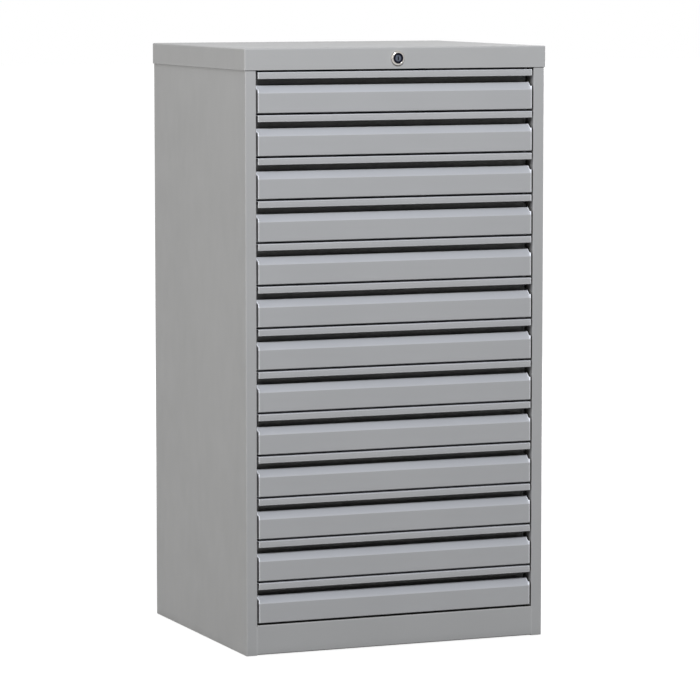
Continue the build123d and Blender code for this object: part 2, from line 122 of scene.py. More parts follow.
class Graph:
    """A material's node tree, with short ways to add and join nodes."""

    def __init__(self, name: str) -> None:
        """Start a material that holds a principled shader and an output.

        Args:
            name: name of the new material.
        """
        self.material = bpy.data.materials.new(name)
        self.material.use_nodes = True
        self.tree = self.material.node_tree
        self.tree.nodes.clear()
        self.shader = self.add("BsdfPrincipled")
        self.join(self.shader, "BSDF", self.add("OutputMaterial"), "Surface")
        self.coordinates = self.add("TexCoord")

    def add(self, kind: str, **settings: object) -> Node:
        """Add a node.

        Args:
            kind: its type, without the leading ShaderNode.
            settings: its properties and their values.

        Returns:
            The node.
        """
        node = self.tree.nodes.new("ShaderNode" + kind)
        for key, value in settings.items():
            setattr(node, key, value)
        return node

    def join(self, start: Node, out: Socket, end: Node, into: Socket) -> None:
        """Link one node's output socket to another's input socket.

        Args:
            start: node that the link leaves.
            out: its output socket.
            end: node that the link enters.
            into: its input socket.
        """
        self.tree.links.new(start.outputs[out], end.inputs[into])

    def noise(self, pattern: Pattern) -> Node:
        """Add noise on object coordinates.

        Args:
            pattern: the noise's scale, detail and stretch.

        Returns:
            The noise node.
        """
        mapping = self.add("Mapping")
        mapping.inputs["Scale"].default_value = pattern.stretch
        self.join(self.coordinates, "Object", mapping, "Vector")
        node = self.add("TexNoise")
        node.inputs["Scale"].default_value = pattern.scale
        node.inputs["Detail"].default_value = pattern.detail
        self.join(mapping, "Vector", node, "Vector")
        return node

    def ramp(self, source: Node, out: Socket, limits: Span, values: Span = (0.0, 1.0)) -> Node:
        """Map a range of an output to another range, held at both ends.

        Args:
            source: node whose output is read.
            out: its output socket.
            limits: the two values that are mapped.
            values: what they are mapped to.

        Returns:
            The range node, its result in socket 0.
        """
        node = self.add("MapRange")
        for name, pair in (("From", limits), ("To", values)):
            for end, value in zip(("Min", "Max"), pair):
                node.inputs[f"{name} {end}"].default_value = value
        self.join(source, out, node, "Value")
        return node

    def mix(self, factor: Node, first: Node | Triple, second: Node | Triple,
            kind: str = "MIX") -> Node:
        """Mix two colours, each of them plain or another mix node's.

        Args:
            factor: node whose first output is the share of the second colour.
            first: colour at 0.
            second: colour at 1.
            kind: the node's blend type.

        Returns:
            The mix node, its colour in the output named Result.
        """
        node = self.add("Mix", data_type="RGBA", blend_type=kind)
        self.join(factor, 0, node, "Factor")
        for socket, colour in (("A", first), ("B", second)):
            if isinstance(colour, Node):
                self.join(colour, "Result", node, socket)
            else:
                node.inputs[socket].default_value = (*colour, 1.0)
        return node

    def mottled(self, source: Node, colour: Triple, tone: float) -> Node:
        """Vary a colour's brightness by a noise.

        Args:
            source: noise whose factor is read.
            colour: the colour in the middle.
            tone: share by which it gets darker and lighter.

        Returns:
            The mix node, its colour in the output named Result.
        """
        level = self.ramp(source, 0, NOISE_MIDDLE)
        return self.mix(level, scaled(colour, 1.0 - tone), scaled(colour, 1.0 + tone))

    def wear(self, colour: Node, source: Node, low: float, high: float) -> None:
        """Give the shader its colour, and a roughness that varies by a noise.

        Args:
            colour: mix node whose result is the colour.
            source: noise whose factor is read.
            low: roughness where the noise is low.
            high: roughness where it is high.
        """
        self.join(colour, "Result", self.shader, "Base Color")
        sheen = self.ramp(source, 0, NOISE_MIDDLE, (low, high))
        self.join(sheen, 0, self.shader, "Roughness")

    def bump(self, layers: list[tuple[Node, Span]]) -> None:
        """Chain bump layers into the shader's normal.

        Args:
            layers: height node, and distance in metres with strength, of each layer.
        """
        below = None
        for height, (distance, strength) in layers:
            node = self.add("Bump")
            node.inputs["Distance"].default_value = distance
            node.inputs["Strength"].default_value = strength
            self.join(height, 0, node, "Height")
            if below is not None:
                self.join(below, "Normal", node, "Normal")
            below = node
        self.join(below, "Normal", self.shader, "Normal")


@dataclass(frozen=True)
class PaintFinish:
    """Satin powder coat on sheet steel: fine grain and faint waves, with painted highlights along
    folds and cut edges, a paler painted light on faces that lean back, and painted shade in the
    deep folds.

    A relief is a bump's distance in metres and its strength.
    """

    name: str
    colour: Triple
    roughness: float = 0.36
    gloss: float = 0.5
    tone: float = 0.02
    clouds: Pattern = Pattern(7.0, 4.0)
    scuffs: Pattern = Pattern(60.0, 5.0, (1.0, 1.0, 0.4))
    scuff_change: Span = (-0.05, 0.06)
    grain: Pattern = Pattern(1500.0, 2.0)
    grain_relief: Span = (0.00002, 0.6)
    waves: Pattern = Pattern(5.0, 1.0)
    wave_relief: Span = (0.0003, 0.5)
    # painted highlight: folds and cut edges within this radius are lightened
    edge_radius: float = 0.003
    edge_facing: Span = (0.965, 0.86)
    edge_highlight_gain: float = 1.15
    # painted light: faces that lean back are tinted paler and bluish by this, as if lit from above
    top_light_tint: Triple = (1.13, 1.15, 1.20)
    top_light_lean: Span = (0.25, 0.65)
    # painted shade: ambient occlusion darkens deep folds towards this colour and dulls their gloss
    fold_shade_colour: Triple = (0.10, 0.096, 0.088)
    fold_shade_reach: float = 0.03
    fold_shade_span: Span = (0.30, 0.55)
    fold_shade_local: bool = True

    def material(self) -> Material:
        """Build the paint.

        Returns:
            The finished material.
        """
        graph = Graph(self.name)
        coat = graph.mottled(graph.noise(self.clouds), self.colour, self.tone)
        # painted highlight along folds and cut edges
        edge_lit = graph.mix(self.edges(graph), coat, scaled(self.colour, self.edge_highlight_gain))
        # painted light: paler, bluish tint on faces that lean back
        top_lit = graph.mix(self.painted_top_light(graph), edge_lit, self.top_light_tint, "MULTIPLY")
        low, high = (self.roughness + change for change in self.scuff_change)
        graph.wear(self.painted_fold_shade(graph, top_lit), graph.noise(self.scuffs), low, high)
        graph.bump([
            (graph.noise(self.waves), self.wave_relief),
            (graph.noise(self.grain), self.grain_relief),
        ])
        return graph.material

    def painted_top_light(self, graph: Graph) -> Node:
        """Mask of the faces that lean back, which get a paler, bluish painted light as if lit from
        above.

        Args:
            graph: the material's node tree.

        Returns:
            A node whose first output is 1 on a face that leans back and 0 on an upright one.
        """
        parts = graph.add("SeparateXYZ")
        graph.join(graph.add("NewGeometry"), "Normal", parts, "Vector")
        return graph.ramp(parts, "Z", self.top_light_lean)

    def painted_fold_shade(self, graph: Graph, coat: Node) -> Node:
        """Paint shade into the deep folds: darken the coat and take away its gloss where ambient
        occlusion finds little open space.

        Args:
            graph: the material's node tree.
            coat: mix node whose result is the unshaded coat's colour.

        Returns:
            The mix node of painted shade and coat, its colour in the output named Result.
        """
        # painted shade: the less open space ambient occlusion finds, the darker and less glossy the
        # coat
        shade_ao = graph.add("AmbientOcclusion", samples=SHADER_SAMPLES, only_local=self.fold_shade_local)
        shade_ao.inputs["Distance"].default_value = self.fold_shade_reach
        gloss = graph.ramp(shade_ao, "AO", self.fold_shade_span, (0.0, self.gloss))
        graph.shader.inputs["Specular IOR Level"].default_value = self.gloss
        graph.join(gloss, 0, graph.shader, "Specular IOR Level")
        return graph.mix(graph.ramp(shade_ao, "AO", self.fold_shade_span), self.fold_shade_colour, coat)

    def edges(self, graph: Graph) -> Node:
        """Mask of the folds and cut edges, which get a painted highlight.

        Args:
            graph: the material's node tree.

        Returns:
            A node whose first output is 1 on an edge and 0 on a flat.
        """
        rounded = graph.add("Bevel", samples=SHADER_SAMPLES)
        rounded.inputs["Radius"].default_value = self.edge_radius
        facing = graph.add("VectorMath", operation="DOT_PRODUCT")
        graph.join(rounded, "Normal", facing, 0)
        graph.join(graph.add("NewGeometry"), "True Normal", facing, 1)
        return graph.ramp(facing, "Value", self.edge_facing)


@dataclass(frozen=True)
class MetalFinish:
    """Bare or plated metal with brushed streaks and dull patches."""

    name: str
    colour: Triple
    roughness: float
    streaks: Pattern = Pattern(300.0, 4.0)
    streak_shares: Span = (0.8, 1.25)
    streak_relief: Span = (0.00003, 0.4)
    patches: Pattern = Pattern(30.0, 4.0)
    tone: float = 0.08

    def material(self) -> Material:
        """Build the metal.

        Returns:
            The finished material.
        """
        graph = Graph(self.name)
        metal = graph.mottled(graph.noise(self.patches), self.colour, self.tone)
        graph.shader.inputs["Metallic"].default_value = 1.0
        streaks = graph.noise(self.streaks)
        low, high = (self.roughness * share for share in self.streak_shares)
        graph.wear(self.worn(graph, metal), streaks, low, high)
        graph.bump([(streaks, self.streak_relief)])
        return graph.material

    def worn(self, graph: Graph, metal: Node) -> Node:
        """Change the colour where use has worn it; plain metal stays as it is.

        Args:
            graph: the material's node tree; not used by plain metal.
            metal: mix node whose result is the metal's colour.

        Returns:
            The mix node that holds the final colour in the output named Result.
        """
        return metal


@dataclass(frozen=True)
class PlugFinish(MetalFinish):
    """Blued metal that keys have rubbed paler on the disc round the keyhole."""

    disc: Triple = (0.11, 0.125, 0.16)
    disc_radius: float = 0.0046
    disc_edge: float = 0.0003

    def worn(self, graph: Graph, metal: Node) -> Node:
        """Pale the disc on the plug's axis.

        Args:
            graph: the material's node tree.
            metal: mix node whose result is the metal's colour.

        Returns:
            The mix node of disc and blued metal.
        """
        low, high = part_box("lock_plug")
        flat = graph.add("VectorMath", operation="MULTIPLY")
        flat.inputs[1].default_value = (1.0, 0.0, 1.0)
        graph.join(graph.coordinates, "Object", flat, 0)
        away = graph.add("VectorMath", operation="DISTANCE")
        away.inputs[1].default_value = ((low.x + high.x) / 2, 0.0, (low.z + high.z) / 2)
        graph.join(flat, 0, away, 0)
        rim = (self.disc_radius - self.disc_edge, self.disc_radius + self.disc_edge)
        return graph.mix(graph.ramp(away, "Value", rim), self.disc, metal)


@dataclass(frozen=True)
class PlasticFinish:
    """Moulded plastic with a faint mottle and a fine moulded texture."""

    name: str
    colour: Triple
    roughness: float
    mottle: Pattern = Pattern(45.0, 3.0)
    mottle_change: Span = (-0.05, 0.07)
    tone: float = 0.06
    pores: Pattern = Pattern(1200.0, 2.0)
    pore_relief: Span = (0.00004, 0.5)

    def material(self) -> Material:
        """Build the plastic.

        Returns:
            The finished material.
        """
        graph = Graph(self.name)
        mottle = graph.noise(self.mottle)
        low, high = (self.roughness + change for change in self.mottle_change)
        graph.wear(graph.mottled(mottle, self.colour, self.tone), mottle, low, high)
        graph.bump([(graph.noise(self.pores), self.pore_relief)])
        return graph.material


FINISHES = {
    Slot.BODY: PaintFinish(
        "body_powder_coat", (0.428, 0.429, 0.431), roughness=0.48, gloss=0.25,
        # on the body, painted shade also falls where other parts, such as the drawers, crowd it
        top_light_tint=ALL_ALIKE, fold_shade_local=False,
    ),
    # drawer fronts get a strong painted highlight along their folds
    Slot.DRAWER: PaintFinish("drawer_powder_coat", (0.410, 0.413, 0.422), edge_highlight_gain=2.2),
    Slot.TRAY: PaintFinish("tray_paint_satin", (0.34, 0.345, 0.35), roughness=0.5),
    Slot.ZINC: MetalFinish(
        "zinc_plate", (0.58, 0.59, 0.60), 0.42, Pattern(300.0, 4.0, (1.0, 1.0, 0.15))),
    Slot.RIVET: MetalFinish("rivet_alloy", (0.66, 0.66, 0.67), 0.35),
    Slot.CHROME: MetalFinish("lock_ring_chrome", (0.50, 0.475, 0.45), 0.18, tone=0.06),
    Slot.PLUG: PlugFinish("plug_blued_steel", (0.012, 0.013, 0.022), 0.30),
    Slot.NYLON: PlasticFinish("natural_nylon", (0.70, 0.69, 0.64), 0.45),
    Slot.FOOT: PlasticFinish("black_foot_moulding", (0.02, 0.02, 0.021), 0.55),
}


class Bench:
    """The modelling steps that every piece shares, each one a few operators."""

    @staticmethod
    def clear() -> None:
        """Leave edit mode and deselect every object."""
        if bpy.context.mode != "OBJECT":
            bpy.ops.object.mode_set(mode="OBJECT")
        bpy.ops.object.select_all(action="DESELECT")

    @staticmethod
    def take(piece: Object) -> None:
        """Make a piece the only selected and the active object.

        Args:
            piece: the object to work on.
        """
        Bench.clear()
        piece.select_set(True)
        bpy.context.view_layer.objects.active = piece

    @staticmethod
    def edit(piece: Object, kind: str = "FACE") -> None:
        """Open a piece in edit mode with nothing selected.

        Args:
            piece: the object to edit.
            kind: EDGE or FACE.
        """
        Bench.take(piece)
        bpy.ops.object.mode_set(mode="EDIT")
        bpy.ops.mesh.select_mode(type=kind)
        bpy.ops.mesh.select_all(action="DESELECT")

    @staticmethod
    def pick(piece: Object, kind: str, test: Callable[[object], bool]) -> None:
        """Select the faces or edges that pass a test, in edit mode.

        Args:
            piece: the object in edit mode.
            kind: EDGE or FACE.
            test: takes a bmesh element and says whether it is wanted.
        """
        bpy.ops.mesh.select_all(action="DESELECT")
        mesh = bmesh.from_edit_mesh(piece.data)
        for item in mesh.faces if kind == "FACE" else mesh.edges:
            if test(item):
                item.select_set(True)
        mesh.select_flush_mode()
        bmesh.update_edit_mesh(piece.data)

    @staticmethod
    def settle(piece: Object, name: str) -> Object:
        """Bring the object to the origin with its place in its mesh, and name it.

        Args:
            piece: the object to settle.
            name: its new name.

        Returns:
            The same object.
        """
        Bench.take(piece)
        bpy.ops.object.transform_apply(location=True, rotation=True, scale=True)
        piece.name = name
        piece.data.name = name
        return piece

    @staticmethod
    def block(name: str, centre: Vector | Triple, size: Vector | Triple) -> Object:
        """Add a box.

        Args:
            name: its name.
            centre: its middle.
            size: its length along each axis.

        Returns:
            The box.
        """
        Bench.clear()
        bpy.ops.mesh.primitive_cube_add(size=1.0, location=centre)
        bpy.context.object.scale = size
        return Bench.settle(bpy.context.object, name)

    @staticmethod
    def drum(name: str, radius: float, centre: Vector | Triple, depth: float, facets: int,
             upright: bool = False) -> Object:
        """Add a cylinder.

        Args:
            name: its name.
            radius: its radius.
            centre: its middle.
            depth: its length along its axis.
            facets: number of its flat sides.
            upright: whether the axis is Z; it is Y otherwise.

        Returns:
            The cylinder.
        """
        Bench.clear()
        bpy.ops.mesh.primitive_cylinder_add(
            vertices=facets, radius=radius, depth=depth, location=centre,
            rotation=(0 if upright else math.pi / 2, 0, 0))
        return Bench.settle(bpy.context.object, name)

    @staticmethod
    def extrude(shift: Vector | Triple) -> None:
        """Extrude what is selected by a distance along each axis."""
        bpy.ops.mesh.extrude_region_move(TRANSFORM_OT_translate={"value": shift})

    @staticmethod
    def modify(piece: Object, kind: str, **settings: object) -> None:
        """Add a modifier and apply it at once.

        Args:
            piece: the object that gets it.
            kind: the modifier's type.
            settings: its properties and their values.
        """
        Bench.take(piece)
        modifier = piece.modifiers.new(kind.lower(), kind)
        for key, value in settings.items():
            setattr(modifier, key, value)
        bpy.ops.object.modifier_apply(modifier=modifier.name)

    @staticmethod
    def smooth(piece: Object, degrees: float = 32.0) -> None:
        """Smooth the shading over shallow angles only.

        Args:
            piece: the object to shade.
            degrees: largest angle that is still smooth.
        """
        Bench.take(piece)
        bpy.ops.object.shade_smooth_by_angle(angle=math.radians(degrees))
        Bench.modify(piece, "WEIGHTED_NORMAL", keep_sharp=True, weight=100)

    @staticmethod
    def ease(piece: Object, width: float) -> None:
        """Round the sharp cut edges and smooth the rest.

        Args:
            piece: the object to finish.
            width: width of the rounding, in metres.
        """
        Bench.modify(piece, "BEVEL", width=width, segments=2, limit_method="ANGLE",
                     angle_limit=math.radians(50.0), use_clamp_overlap=True)
        Bench.smooth(piece)

    @staticmethod
    def turn_outwards(piece: Object) -> None:
        """Merge doubled points and point every face of a closed shape outwards.

        Args:
            piece: the object to clean.
        """
        Bench.edit(piece)
        bpy.ops.mesh.select_all(action="SELECT")
        bpy.ops.mesh.remove_doubles(threshold=1e-6)
        bpy.ops.mesh.normals_make_consistent(inside=False)
        Bench.clear()

    @staticmethod
    def fuse(piece: Object, other: Object, operation: str) -> None:
        """Join or cut a piece with another one, which is used up.

        Args:
            piece: the object that is kept.
            other: the object that joins or cuts it.
            operation: UNION or DIFFERENCE.
        """
        Bench.modify(piece, "BOOLEAN", object=other, operation=operation, solver="EXACT")
        bpy.data.objects.remove(other)

    @staticmethod
    def copy(piece: Object, name: str, shift: Vector) -> Object:
        """Copy a finished piece with its own mesh, moved by a distance.

        Args:
            piece: the object to copy.
            name: the copy's name.
            shift: how far the copy's mesh moves.

        Returns:
            The copy.
        """
        twin = piece.copy()
        twin.data = piece.data.copy()
        twin.data.transform(Matrix.Translation(shift))
        twin.name = name
        twin.data.name = name
        bpy.context.scene.collection.objects.link(twin)
        return twin


@dataclass
class FoldedSheet:
    """One sheet folded along a path: strips extruded one from the other, bent, then thickened."""

    path: list[Vector]
    run: Vector
    bends: list[float]
    thickness: float
    side: Fold
    steps: int = 4

    def build(self, name: str) -> Object:
        """Fold the sheet.

        Args:
            name: the piece's name.

        Returns:
            The folded sheet, closed and shaded.
        """
        piece = self.first_strip(name)
        Bench.edit(piece, "EDGE")
        self.pick_fold(piece, self.path[1])
        for start, end in zip(self.path[1:], self.path[2:]):
            Bench.extrude(end - start)
        for index, radius in enumerate(self.bends, start=1):
            before = (self.path[index] - self.path[index - 1]).normalized()
            after = (self.path[index + 1] - self.path[index]).normalized()
            reach = radius * math.tan(before.angle(after) / 2)
            self.pick_fold(piece, self.path[index])
            bpy.ops.mesh.bevel(offset=reach, segments=self.steps, affect="EDGES")
        Bench.clear()
        Bench.modify(piece, "SOLIDIFY", thickness=self.thickness, offset=self.grow_side(piece),
                     use_even_offset=True)
        Bench.ease(piece, self.thickness * EASED)
        return piece

    def middle(self) -> Vector:
        """Middle of the first strip."""
        return (self.path[0] + self.path[1]) / 2 + self.run / 2

    def first_strip(self, name: str) -> Object:
        """Lay the first strip, between the path's first two points.

        Args:
            name: the piece's name.

        Returns:
            A flat strip.
        """
        along = self.path[1] - self.path[0]
        across = along.cross(self.run).normalized()
        Bench.clear()
        bpy.ops.mesh.primitive_plane_add(size=1.0)
        piece = bpy.context.object
        columns = Matrix((along, self.run, across)).transposed().to_4x4()
        piece.matrix_world = Matrix.Translation(self.middle()) @ columns
        return Bench.settle(piece, name)

    def pick_fold(self, piece: Object, point: Vector) -> None:
        """Select the edge that runs along the sheet through a point of the path.

        Args:
            piece: the sheet in edit mode.
            point: a point of the path.
        """
        far = point + self.run

        def on_fold(edge: BMEdge) -> bool:
            """Whether an edge joins the point and its far end."""
            first, second = edge.verts[0].co, edge.verts[1].co
            same = (first - point).length < TINY and (second - far).length < TINY
            return same or ((second - point).length < TINY and (first - far).length < TINY)

        Bench.pick(piece, "EDGE", on_fold)

    def grow_side(self, piece: Object) -> float:
        """Side on which Solidify adds the thickness, from the first strip's normal.

        Args:
            piece: the sheet before it is thickened.

        Returns:
            1 along the faces' normals, -1 against them.
        """
        along = (self.path[1] - self.path[0]).normalized()
        wanted = self.run.normalized().cross(along) * self.side.value
        middle = self.middle()
        strip = min(piece.data.polygons, key=lambda face: (face.center - middle).length)
        return 1.0 if strip.normal.dot(wanted) > 0 else -1.0


@dataclass
class DrawerFronts:
    """The thirteen pressed fronts, each with a flat, a bevel, a finger recess and a hemmed lip."""

    sheet: float = 0.001
    flat_height: float = 0.0294
    bevel_height: float = 0.012
    bevel_depth: float = 0.0136
    bevel_edge_bend: float = 0.00115
    lip_height: float = 0.010
    recess_depth: float = 0.025
    recess_drop: float = 0.006
    hem_gap: float = 0.0004
    hem_height: float = 0.005
    outer_bend: float = 0.0016
    inner_bend: float = 0.0006
    hem_bend: float = 0.00015
    cheek_inset: float = 0.00004

    def build(self) -> list[Object]:
        """Model the top front and copy it down the cabinet.

        Returns:
            All fronts, the top one first.
        """
        nodes = sorted(name for name in frame["nodes"] if name.startswith("drawer_front_"))
        low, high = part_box(nodes[0])
        first = self.model(low, high)
        pieces = []
        for node, body in zip(nodes, DRAWERS):
            name = node.replace("drawer_front", "pressed_front")
            if node == nodes[0]:
                piece = first
                piece.name = name
            else:
                piece = Bench.copy(first, name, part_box(node)[0] - low)
            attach(piece, body)
            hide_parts(node)
            pieces.append(piece)
        return pieces

    def model(self, low: Vector, high: Vector) -> Object:
        """Fold one front and close its ends.

        Args:
            low: lowest corner of the front's node.
            high: its highest corner.

        Returns:
            The finished front.
        """
        face = low.y
        bottom = low.z
        back = high.y
        recess = face + self.recess_depth
        flat_top = bottom + self.flat_height
        bevel_top = flat_top + self.bevel_height
        bevel_rear = face + self.bevel_depth
        floor = bevel_top - self.recess_drop
        lip_top = high.z - self.sheet
        lip_bottom = high.z - self.lip_height + self.sheet
        lip_back = face + self.sheet
        hem = lip_back + self.hem_gap
        profile = [
            (back, bottom), (face, bottom), (face, flat_top), (bevel_rear, bevel_top),
            (bevel_rear, floor), (recess, floor), (recess, lip_top),
            (lip_back, lip_top), (lip_back, lip_bottom), (hem, lip_bottom),
            (hem, lip_bottom + self.hem_height),
        ]
        path = [Vector((low.x, y, z)) for y, z in profile]
        bends = [self.outer_bend, self.outer_bend, self.bevel_edge_bend]
        bends += [self.inner_bend] * 4 + [self.hem_bend] * 2
        run = Vector((high.x - low.x, 0, 0))
        front = FoldedSheet(path, run, bends, self.sheet, Fold.RIGHT).build("pressed_front")
        for outer, inner in ((low.x, low.x + self.sheet), (high.x, high.x - self.sheet)):
            Bench.fuse(front, self.cheek(outer, inner, low, back), "UNION")
        Bench.smooth(front)
        Bench.modify(front, "TRIANGULATE", keep_custom_normals=True)
        return front

    def cheek(self, outer: float, inner: float, low: Vector, back: float) -> Object:
        """Cut one end plate, which closes the front up to its bevel and the recess's floor.

        Args:
            outer: X of the plate's outer face.
            inner: X of its inner face.
            low: lowest corner of the front.
            back: Y of the front's rear.

        Returns:
            The plate, stepped up behind the bevel and cut off along it.
        """
        half = self.sheet / 2
        outer += math.copysign(self.cheek_inset, inner - outer)
        front_y = low.y + half
        step_y = low.y + self.bevel_depth - half
        bottom = low.z + half
        bevel_top = low.z + self.flat_height + self.bevel_height - half
        floor = bevel_top - self.recess_drop
        centre = ((outer + inner) / 2, (front_y + back - half) / 2, (bottom + floor) / 2)
        size = (abs(outer - inner), back - half - front_y, floor - bottom)
        plate = Bench.block("cheek", centre, size)
        Bench.edit(plate)
        bpy.ops.mesh.select_all(action="SELECT")
        bpy.ops.mesh.bisect(plane_co=(outer, step_y, floor), plane_no=(0, 1, 0))
        Bench.pick(plate, "FACE", lambda face: (
            face.normal.z > FACING and face.calc_center_median().y < step_y))
        Bench.extrude((0, 0, bevel_top - floor))
        bpy.ops.mesh.select_all(action="SELECT")
        bpy.ops.mesh.bisect(
            plane_co=(outer, front_y, low.z + self.flat_height),
            plane_no=(0, -self.bevel_height, self.bevel_depth),
            use_fill=True, clear_outer=True,
        )
        Bench.turn_outwards(plate)
        return plate


@dataclass
class BodyShell:
    """The folded body sheets: two side panels, the plinth with its filled seams and the top cap."""

    sheet: float = 0.001
    cap_sheet: float = 0.0012
    cap_edge: float = 0.0022
    bend: float = 0.0016
    jamb_depth: float = 0.025
    rear_flange: float = 0.015
    plinth_return: float = 0.015
    lock_hole: float = 0.0091
    hole_facets: int = 48
    filler_bite: float = 0.00002
    filler_facets: int = 96

    def build(self) -> list[Object]:
        """Model the shell's pieces.

        Returns:
            Side panels, plinth, its seam fillers and cap.
        """
        pieces = [self.side_panel("side_panel_left", -1), self.side_panel("side_panel_right", 1)]
        pieces.append(self.plinth())
        pieces += [self.seam_filler(-1), self.seam_filler(1)]
        pieces.append(self.cap())
        return pieces

    def side_panel(self, node: str, hand: int) -> Object:
        """Fold one side panel: jamb, stile, wall and rear flange.

        Args:
            node: the node that the panel replaces.
            hand: 1 on the right, -1 on the left.

        Returns:
            The panel.
        """
        low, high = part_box(node)
        wall = high.x if hand > 0 else low.x
        jamb = low.x if hand > 0 else high.x
        plan = [
            (jamb, low.y + self.jamb_depth), (jamb, low.y), (wall, low.y), (wall, high.y),
            (wall - hand * self.rear_flange, high.y),
        ]
        path = [Vector((x, y, low.z)) for x, y in plan]
        run = Vector((0, 0, high.z - low.z))
        side = Fold.LEFT if hand > 0 else Fold.RIGHT
        panel = FoldedSheet(path, run, [self.bend] * 3, self.sheet, side, steps=6)
        piece = panel.build(node.replace("side_panel", "folded_side"))
        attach(piece, CARCASS)
        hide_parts(node)
        return piece

    def plinth(self) -> Object:
        """Fold the plinth.

        Returns:
            The plinth.
        """
        low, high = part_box("plinth_panel")
        profile = [
            (low.y + self.plinth_return, low.z), (low.y, low.z), (low.y, high.z), (high.y, high.z),
        ]
        path = [Vector((low.x, y, z)) for y, z in profile]
        run = Vector((high.x - low.x, 0, 0))
        panel = FoldedSheet(path, run, [self.bend] * 2, self.sheet, Fold.RIGHT)
        piece = panel.build("folded_plinth")
        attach(piece, CARCASS)
        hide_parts("plinth_panel")
        return piece

    def seam_filler(self, hand: int) -> Object:
        """Fill the groove between the plinth's end and the stile's fold, flush with both.

        Args:
            hand: 1 on the right, -1 on the left.

        Returns:
            A strip that is hollowed to sit on the fold.
        """
        low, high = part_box("plinth_panel")
        end = high.x if hand > 0 else low.x
        height = high.z - self.bend - low.z
        middle = low.z + height / 2
        name = "seam_filler_right" if hand > 0 else "seam_filler_left"
        centre = (end + hand * self.bend / 2, low.y + self.bend / 2, middle)
        piece = Bench.block(name, centre, (self.bend, self.bend, height))
        cutter = Bench.drum(
            "fold_cutter", self.bend - self.filler_bite,
            (end + hand * self.bend, low.y + self.bend, middle), 2 * height,
            self.filler_facets, upright=True)
        Bench.fuse(piece, cutter, "DIFFERENCE")
        Bench.smooth(piece)
        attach(piece, CARCASS)
        return piece

    def cap(self) -> Object:
        """Press the cap: a box without a floor, its edges rounded and its wall added inside.

        Returns:
            The cap.
        """
        low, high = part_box("top_cap")
        piece = Bench.block("pressed_cap", (low + high) / 2, high - low)
        Bench.edit(piece)
        Bench.pick(piece, "FACE", lambda face: face.normal.z < -FACING)
        bpy.ops.mesh.delete(type="FACE")
        bpy.ops.mesh.select_mode(type="EDGE")
        Bench.pick(piece, "EDGE", lambda edge: len(edge.link_faces) == 2)
        bpy.ops.mesh.bevel(offset=self.cap_edge, segments=6, affect="EDGES")
        Bench.clear()
        Bench.modify(piece, "SOLIDIFY", thickness=self.cap_sheet, offset=-1.0,
                     use_even_offset=True)
        Bench.fuse(piece, self.hole_cutter(low.y), "DIFFERENCE")
        Bench.ease(piece, self.cap_sheet * EASED)
        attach(piece, CARCASS)
        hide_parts("top_cap")
        return piece

    def hole_cutter(self, face: float) -> Object:
        """Cylinder that cuts the lock's hole in the front skirt.

        Args:
            face: Y of the skirt's outer face.

        Returns:
            The cutter.
        """
        low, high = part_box("lock_housing")
        centre = (0, face, (low.z + high.z) / 2)
        through = 6 * self.cap_sheet
        return Bench.drum("hole_cutter", self.lock_hole, centre, through, self.hole_facets)


